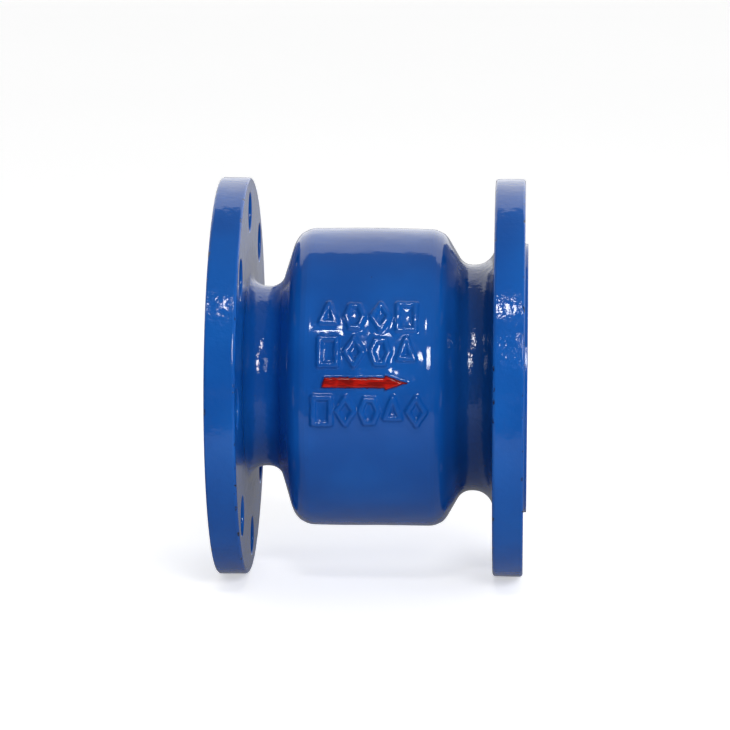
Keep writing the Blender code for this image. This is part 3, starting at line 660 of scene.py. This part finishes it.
class Look:
    """A material and short ways to add and join its nodes."""

    def __init__(self, name):
        self.material = bpy.data.materials.new(name)
        self.material.use_nodes = True
        self.tree = self.material.node_tree
        self.shader = self.tree.nodes["Principled BSDF"]
        self.place = self.add("ShaderNodeTexCoord").outputs["Object"]

    def add(self, kind, **settings):
        node = self.tree.nodes.new(kind)
        for key, value in settings.items():
            setattr(node, key, value)
        return node

    def put(self, socket, value):
        if isinstance(value, bpy.types.NodeSocket):
            self.tree.links.new(value, socket)
        elif isinstance(value, (tuple, list)) and len(value) == 3 and socket.type == "RGBA":
            socket.default_value = (*value, 1.0)
        else:
            socket.default_value = value

    def set(self, **values):
        for key, value in values.items():
            self.put(self.shader.inputs[key.replace("_", " ")], value)

    def math(self, operation, *values):
        node = self.add("ShaderNodeMath", operation=operation)
        for socket, value in zip(node.inputs, values):
            self.put(socket, value)
        return node.outputs[0]

    def noise(self, size, detail=2.0, rough=0.5, place=None):
        """Noise whose features are about size metres across."""
        node = self.add("ShaderNodeTexNoise")
        self.put(node.inputs["Vector"], place or self.place)
        node.inputs["Scale"].default_value = 1.0 / size
        node.inputs["Detail"].default_value = detail
        node.inputs["Roughness"].default_value = rough
        return node.outputs["Fac"]

    def spots(self, size, share, radius):
        """1 in small round spots of that radius. A share of the cells has one, and cells are size metres."""
        node = self.add("ShaderNodeTexVoronoi")
        self.put(node.inputs["Vector"], self.place)
        node.inputs["Scale"].default_value = 1.0 / size
        chosen = self.math("LESS_THAN", self.part(node.outputs["Color"], 0), share)
        near = self.ramp(node.outputs["Distance"], radius / size, radius * 0.4 / size)
        return self.math("MULTIPLY", chosen, near)

    def part(self, vector, index):
        node = self.add("ShaderNodeSeparateXYZ")
        self.put(node.inputs[0], vector)
        return node.outputs[index]

    def ramp(self, value, low, high, to_low=0.0, to_high=1.0):
        node = self.add("ShaderNodeMapRange", interpolation_type="SMOOTHSTEP")
        if low > high:
            low, high, to_low, to_high = high, low, to_high, to_low
        for index, item in enumerate((value, low, high, to_low, to_high)):
            self.put(node.inputs[index], item)
        return node.outputs[0]

    def mix(self, amount, first, second):
        node = self.add("ShaderNodeMix", data_type="RGBA")
        self.put(node.inputs[0], amount)
        self.put(node.inputs[6], first)
        self.put(node.inputs[7], second)
        return node.outputs[2]

    def stretched(self, x, y, z):
        node = self.add("ShaderNodeMapping")
        self.put(node.inputs["Vector"], self.place)
        node.inputs["Scale"].default_value = (x, y, z)
        return node.outputs[0]

    def bump(self, height, distance, under=None):
        node = self.add("ShaderNodeBump")
        node.inputs["Strength"].default_value = 1.0
        node.inputs["Distance"].default_value = distance
        self.put(node.inputs["Height"], height)
        if under:
            self.put(node.inputs["Normal"], under)
        return node.outputs[0]

    def radius(self):
        """Distance from the flow axis, in metres."""
        flat = self.add("ShaderNodeVectorMath", operation="MULTIPLY")
        self.put(flat.inputs[0], self.place)
        flat.inputs[1].default_value = (0.0, 1.0, 1.0)
        length = self.add("ShaderNodeVectorMath", operation="LENGTH")
        self.put(length.inputs[0], flat.outputs[0])
        return length.outputs["Value"]


def epoxy(name, with_arrow=False):
    """Thick glossy blue epoxy over a casting, with pits, runs and a few edge chips."""
    look = Look(name)
    broad = look.noise(0.045, 2.0)
    fine = look.noise(0.004, 3.0, 0.6)
    colour = look.mix(look.ramp(broad, 0.35, 0.65), (0.0050, 0.083, 0.372), (0.0064, 0.104, 0.437))
    pits = look.spots(0.011, 0.16, 0.00055)
    pinholes = look.spots(0.006, 0.07, 0.00032)
    radius = look.radius()
    along = look.math("ABSOLUTE", look.part(look.place, 0))
    rim = look.ramp(radius, 0.0925, 0.0945)
    neck = look.math("MULTIPLY", look.ramp(along, 0.0385, 0.0425), look.ramp(radius, 0.068, 0.062))
    # The outlet neck's colour is darkened: painted shade. It stands in for a deep shade between the drum and
    # the flange that the studio light doesn't give, and it is there from every side.
    x = look.part(look.place, 0)
    shade = look.math("MULTIPLY", look.ramp(x, 0.0395, 0.0440), look.ramp(radius, 0.0700, 0.0600))
    shade = look.math("MULTIPLY", shade, look.ramp(x, 0.0595, 0.0575))
    colour = look.mix(look.math("MULTIPLY", shade, 0.62), colour, (0.0030, 0.026, 0.125))
    face = look.math("MULTIPLY", look.ramp(along, 0.0560, 0.0574), look.ramp(along, 0.0592, 0.0586))
    face = look.math("MULTIPLY", face, look.ramp(radius, 0.0930, 0.0900))

    # Chips stay on the flanges' outer corners.
    ends = look.math("MAXIMUM", look.ramp(along, 0.0605, 0.0596), look.ramp(along, 0.0722, 0.0729))
    corner = look.math("MULTIPLY", look.ramp(radius, 0.0944, 0.0953), ends)
    chips = look.math("MULTIPLY", corner, look.ramp(look.noise(0.0045, 4.0, 0.65), 0.60, 0.64))
    dark = look.math("MAXIMUM", look.math("MULTIPLY", pits, 0.75), chips)
    dark = look.math("MAXIMUM", dark, look.math("MULTIPLY", pinholes, 0.5))
    colour = look.mix(dark, colour, (0.010, 0.014, 0.030))
    roughness = look.ramp(fine, 0.3, 0.7, 0.05, 0.12)
    if with_arrow:
        edge = look.add("ShaderNodeAttribute", attribute_name="arrow").outputs["Fac"]
        waver = look.math("SUBTRACT", look.noise(0.0022, 3.0), 0.5)
        ragged = look.math("ADD", edge, look.math("MULTIPLY", waver, 1.6))
        red = look.ramp(ragged, 0.0, 0.35)
        streaks = look.noise(0.0016, 3.0, 0.6, place=look.stretched(0.22, 1.0, 1.0))
        paint = look.mix(look.ramp(streaks, 0.38, 0.62), (0.210, 0.005, 0.004), (0.500, 0.009, 0.004))
        # The red is darkened near the arrow's outline, all round: painted shade on the raised arrow's walls.
        paint = look.mix(look.ramp(ragged, 1.1, 0.2), paint, (0.070, 0.004, 0.006))
        colour = look.mix(red, colour, paint)
    amount = look.math("ADD", look.math("MULTIPLY", rim, 0.70), look.math("MULTIPLY", neck, 1.25))
    amount = look.math("ADD", amount, 0.12)
    # Brush marks run along the flow axis, and streak the reflections on the drum.
    brushed = look.noise(0.0042, 2.0, 0.5, place=look.stretched(0.12, 1.0, 1.0))
    peel = look.bump(brushed, 0.000042)
    peel = look.bump(look.noise(0.0065, 1.0), 0.000085, peel)
    peel = look.bump(look.noise(0.0024, 1.0), 0.000012, peel)
    cast = look.math("MULTIPLY", look.noise(0.0028, 2.0, 0.55), amount)
    peel = look.bump(cast, 0.000175, peel)
    ridged = look.math("ADD", neck, look.math("MULTIPLY", rim, 0.25))
    ridges = look.math("MULTIPLY", look.noise(0.0011, 2.0, 0.6), ridged)
    peel = look.bump(ridges, 0.000045, peel)
    # The casting's grain shows through the thin paint on the flanges' inner faces, most of all in patches.
    patches = look.math("MULTIPLY", look.ramp(look.noise(0.020, 2.0), 0.40, 0.62, 0.25, 1.0), face)
    grain = look.math("MULTIPLY", look.noise(0.0013, 3.0, 0.7), patches)
    peel = look.bump(grain, 0.000120, peel)
    # The gasket faces are turned, and their grooves stay visible under the paint.
    gasket = look.math("MULTIPLY", look.ramp(along, 0.0740, 0.0746), look.ramp(radius, 0.0645, 0.0635))
    grooves = look.math("SINE", look.math("MULTIPLY", radius, 2.0 * math.pi / 0.0011))
    peel = look.bump(look.math("MULTIPLY", grooves, gasket), 0.000022, peel)
    peel = look.bump(look.math("SUBTRACT", 1.0, dark), 0.00012, peel)
    look.set(Base_Color=colour, Roughness=roughness, IOR=1.52, Normal=peel)
    return look.material


def machined(name, colour, tint, roughness, ring=0.00018, depth=0.0000025, wear=0.5):
    """Turned metal: fine tool marks round the flow axis, smudges and a few faint stains."""
    look = Look(name)
    around = look.add("ShaderNodeCombineXYZ")
    look.put(around.inputs[0], look.part(look.place, 0))
    look.put(around.inputs[1], look.radius())
    marks = look.noise(ring, 2.0, 0.5, place=around.outputs[0])
    smudge = look.noise(0.012, 4.0, 0.6)
    stain = look.ramp(look.noise(0.02, 5.0, 0.6), 0.48, 0.86)
    base = look.mix(look.math("MULTIPLY", stain, wear), colour, tint)
    base = look.mix(look.ramp(marks, 0.35, 0.65, 0.0, 0.22), base, tuple(c * 0.55 for c in colour))
    rough = look.ramp(smudge, 0.3, 0.7, roughness - 0.07, roughness + 0.10)
    normal = look.bump(marks, depth)
    normal = look.bump(look.noise(0.0015, 3.0, 0.6), 0.000006, normal)
    look.set(Base_Color=base, Metallic=1.0, Roughness=rough, Normal=normal)
    return look.material


def drawn_wire(name):
    """Spring wire: smooth, with a faint bluish oil film and drawing marks along it."""
    look = Look(name)
    patch = look.noise(0.006, 3.0, 0.6)
    base = look.mix(look.ramp(patch, 0.35, 0.7), (0.44, 0.45, 0.48), (0.60, 0.59, 0.57))
    rough = look.ramp(look.noise(0.0012, 3.0, 0.6), 0.3, 0.7, 0.20, 0.36)
    normal = look.bump(look.noise(0.0009, 3.0, 0.6), 0.000012)
    look.set(Base_Color=base, Metallic=1.0, Roughness=rough, Normal=normal)
    return look.material


def rubber(name):
    """Moulded rubber with a dusty bloom."""
    look = Look(name)
    bloom = look.ramp(look.noise(0.009, 4.0, 0.6), 0.45, 0.75)
    base = look.mix(look.math("MULTIPLY", bloom, 0.4), (0.014, 0.014, 0.015), (0.050, 0.049, 0.047))
    rough = look.ramp(look.noise(0.003, 3.0), 0.3, 0.7, 0.52, 0.72)
    look.set(Base_Color=base, Roughness=rough, Normal=look.bump(look.noise(0.0006, 2.0), 0.00002))
    return look.material


# ---------------------------------------------------------------------------
# Camera, light and floor


def add_camera():
    """A long lens a little above the valve and to its outlet side."""
    yaw, fall = math.radians(-2.68), math.radians(10.9)
    ahead = Vector((math.sin(yaw) * math.cos(fall), math.cos(yaw) * math.cos(fall), -math.sin(fall)))
    right = Vector((math.cos(yaw), -math.sin(yaw), 0.0))
    up = right.cross(ahead)
    target = Vector((-3.65, 0.0, 0.0)) * MM + up * 5.6 * MM
    data = bpy.data.cameras.new("camera")
    data.lens = 169.3
    data.sensor_width = 36.0
    data.clip_start = 0.05
    data.clip_end = 60.0
    camera = link(bpy.data.objects.new("camera", data))
    turn = Matrix((right, up, -ahead)).transposed().to_4x4()
    camera.matrix_world = Matrix.Translation(target - ahead * 1.665) @ turn
    bpy.context.scene.camera = camera


def add_lamp(name, azimuth, elevation, distance, width, height, radiance, mirrored=True):
    """A soft rectangular lamp. Azimuth is measured from the front, positive towards +X.

    Its distance and size are in metres. A lamp that isn't mirrored gives light but doesn't show in gloss.
    """
    a, e = math.radians(azimuth), math.radians(elevation)
    place = Vector((math.sin(a) * math.cos(e), -math.cos(a) * math.cos(e), math.sin(e))) * distance
    data = bpy.data.lights.new(name, "AREA")
    data.shape = "RECTANGLE"
    data.size, data.size_y = width, height
    data.energy = radiance * math.pi * width * height
    lamp = link(bpy.data.objects.new(name, data))
    lamp.location = place
    lamp.rotation_euler = (-place).to_track_quat("-Z", "Y").to_euler()
    lamp.visible_camera = False
    lamp.visible_glossy = mirrored


def add_world():
    """A bright backdrop behind and above, and a dim studio in front. The camera sees plain white instead."""
    world = bpy.data.worlds.new("studio")
    world.use_nodes = True
    bpy.context.scene.world = world
    tree = world.node_tree
    tree.nodes.clear()

    def node(kind, *values, **settings):
        new = tree.nodes.new(kind)
        for key, value in settings.items():
            setattr(new, key, value)
        for socket, value in zip(new.inputs, values):
            if isinstance(value, bpy.types.NodeSocket):
                tree.links.new(value, socket)
            else:
                socket.default_value = value
        return new

    direction = node("ShaderNodeSeparateXYZ", node("ShaderNodeTexCoord").outputs["Generated"])
    x, y, z = direction.outputs
    # The angle from the horizon behind the valve, up and over to the horizon in front, in radians.
    over = node("ShaderNodeMath", z, y, operation="ARCTAN2").outputs[0]
    top, bottom = math.radians(58.5), math.radians(56.5)
    edge = node("ShaderNodeMapRange", over, top, bottom, 0.0, 1.0, interpolation_type="SMOOTHSTEP")
    backdrop = node("ShaderNodeMath", edge.outputs[0], 1.08, operation="MULTIPLY").outputs[0]
    low = node("ShaderNodeMapRange", over, math.radians(60.0), math.radians(150.0), 0.26, 0.07)
    light = node("ShaderNodeMath", backdrop, low.outputs[0], operation="ADD").outputs[0]
    seen = node("ShaderNodeLightPath").outputs["Is Camera Ray"]
    strength = node("ShaderNodeMix", seen, data_type="FLOAT")
    tree.links.new(light, strength.inputs[2])
    strength.inputs[3].default_value = 1.0
    background = node("ShaderNodeBackground", (1.0, 1.0, 1.0, 1.0), strength.outputs[0])
    output = node("ShaderNodeOutputWorld")
    tree.links.new(background.outputs[0], output.inputs[0])


FLOOR_LIFT = 0.54  # added to the floor as the camera sees it, so that all but the contact shadow is white


def add_floor():
    """A pale floor. In reflections it is a glow instead, dimmer, with a painted shadow of the valve near and
    under it, and it ends in front of the valve like a tabletop's edge.
    """
    mesh = bpy.data.meshes.new("floor")
    mesh.from_pydata([(-20, -20, 0), (20, -20, 0), (20, 20, 0), (-20, 20, 0)], [], [(0, 1, 2, 3)])
    floor = link(bpy.data.objects.new("floor", mesh))
    floor.location.z = -FLANGE_R * MM
    look = Look("floor_white")
    tree = look.tree
    path = look.add("ShaderNodeLightPath")
    tone = look.ramp(look.noise(0.9, 2.0), 0.3, 0.7, 0.88, 0.90)
    ahead = look.part(look.place, 1)
    lit = look.ramp(ahead, -0.330, -0.310, 0.07, 0.50)
    # Towards the valve and under it the glow is lowered: a painted shadow of the valve in the floor's
    # reflections.
    table_with_painted_shadow = look.math("SUBTRACT", lit, look.ramp(ahead, -0.30, -0.06, 0.0, 0.27))
    far = look.ramp(ahead, 0.15, 1.2, 0.0, 0.22)
    mirrored = look.math("ADD", table_with_painted_shadow, far)
    look.set(Base_Color=tone, Roughness=0.85, Specular_IOR_Level=0.2)
    plain = look.shader.outputs[0]
    glow = look.add("ShaderNodeEmission")
    look.put(glow.inputs["Strength"], mirrored)
    lift = look.add("ShaderNodeEmission")
    look.put(lift.inputs["Strength"], look.math("MULTIPLY", path.outputs["Is Camera Ray"], FLOOR_LIFT))
    white = look.add("ShaderNodeAddShader")
    tree.links.new(plain, white.inputs[0])
    tree.links.new(lift.outputs[0], white.inputs[1])
    mixed = look.add("ShaderNodeMixShader")
    look.put(mixed.inputs[0], path.outputs["Is Glossy Ray"])
    tree.links.new(white.outputs[0], mixed.inputs[1])
    tree.links.new(glow.outputs[0], mixed.inputs[2])
    tree.links.new(mixed.outputs[0], tree.nodes["Material Output"].inputs["Surface"])
    mesh.materials.append(look.material)


def add_stage():
    add_camera()
    add_world()
    add_floor()
    add_lamp("front_lamp", -2.5, 49.0, distance=1.2, width=0.22, height=0.13, radiance=26.0)
    add_lamp("right_lamp", 15.0, 26.0, distance=1.2, width=0.26, height=0.26, radiance=22.0)
    add_lamp("right_fill", 62.0, 22.0, distance=1.6, width=1.1, height=1.1, radiance=2.1, mirrored=False)
    scene = bpy.context.scene
    scene.view_settings.view_transform = "Standard"
    scene.view_settings.look = "None"


# ---------------------------------------------------------------------------
# Assembly


def stand_for(obj, node, body, material):
    """Puts a piece in the place of its CAD node."""
    obj.data.materials.clear()
    obj.data.materials.append(material)
    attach(obj, body)
    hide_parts(node)


def build():
    add_stage()
    blue = epoxy("blue_epoxy_cast", with_arrow=True)
    blue_plain = epoxy("blue_epoxy_guide")
    bronze = machined("bronze_turned", (0.62, 0.42, 0.19), (0.30, 0.16, 0.07), 0.30, wear=0.75)
    steel = machined("stainless_turned", (0.60, 0.60, 0.59), (0.36, 0.35, 0.33), 0.24, wear=0.45)
    screw_steel = machined(
        "stainless_screw", (0.54, 0.54, 0.53), (0.30, 0.29, 0.28), 0.30, ring=0.0004, depth=0.000004
    )
    wire = drawn_wire("spring_wire")
    black = rubber("black_rubber_moulded")

    fixed, moving = "housing", "disc_assembly"
    pieces = [
        (make_body(), "body", fixed, blue, "blue_epoxy"),
        (make_seat_ring(), "seat_ring", fixed, bronze, "bronze"),
        (make_o_ring(), "seat_o_ring", fixed, black, "black_rubber"),
        (tube("valve_inlet_bush", 4.97, 7.0, -59.5, -40.5), "inlet_bush", fixed, bronze, "bronze"),
        (
            tube("valve_outlet_bush", 5.97, 8.95, SLEEVE_START + 0.5, SLEEVE_START + 30.5),
            "outlet_bush", fixed, bronze, "bronze",
        ),
        (make_outlet_guide(), "outlet_guide", fixed, blue_plain, "blue_epoxy"),
        (make_retaining_ring(), "retaining_ring", fixed, wire, "spring_steel"),
        (make_spring(), "spring", fixed, wire, "spring_steel"),
        (make_disc(), "disc", moving, steel, "stainless"),
        (make_disc_seal(), "disc_seal", moving, black, "black_rubber"),
        (make_seal_retainer(), "seal_retainer", moving, steel, "stainless"),
        (make_stem(), "stem", moving, steel, "stainless"),
        (tube("valve_stem_washer", 4.97, 9.8, -26.1, -24.05, 0.3), "stem_washer", moving, steel, "stainless"),
        (make_stem_nut(), "stem_nut", moving, screw_steel, "stainless"),
    ]
    for k, centre in screw_places(SEAT_SCREW_CIRCLE_R):
        screw = socket_screw(
            f"valve_seat_screw_{k + 1}", centre, top=SEAT_FACE - 0.2, head=3.75, shank_end=-39.4,
            radius=3.3, key=3.0, outward=1.0,
        )
        pieces.append((screw, f"seat_screw_{k + 1}", fixed, screw_steel, "stainless"))
    for k, centre in screw_places(RETAINER_SCREW_CIRCLE_R):
        screw = socket_screw(
            f"valve_retainer_screw_{k + 1}", centre, top=-26.5, head=2.45, shank_end=-13.5,
            radius=3.6, key=2.6, outward=-1.0,
        )
        pieces.append((screw, f"retainer_screw_{k + 1}", moving, screw_steel, "stainless"))
    for obj, node, body, material, slot in pieces:
        soften(obj)
        stand_for(obj, node, body, material)
        if node == "spring":
            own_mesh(obj)


build()
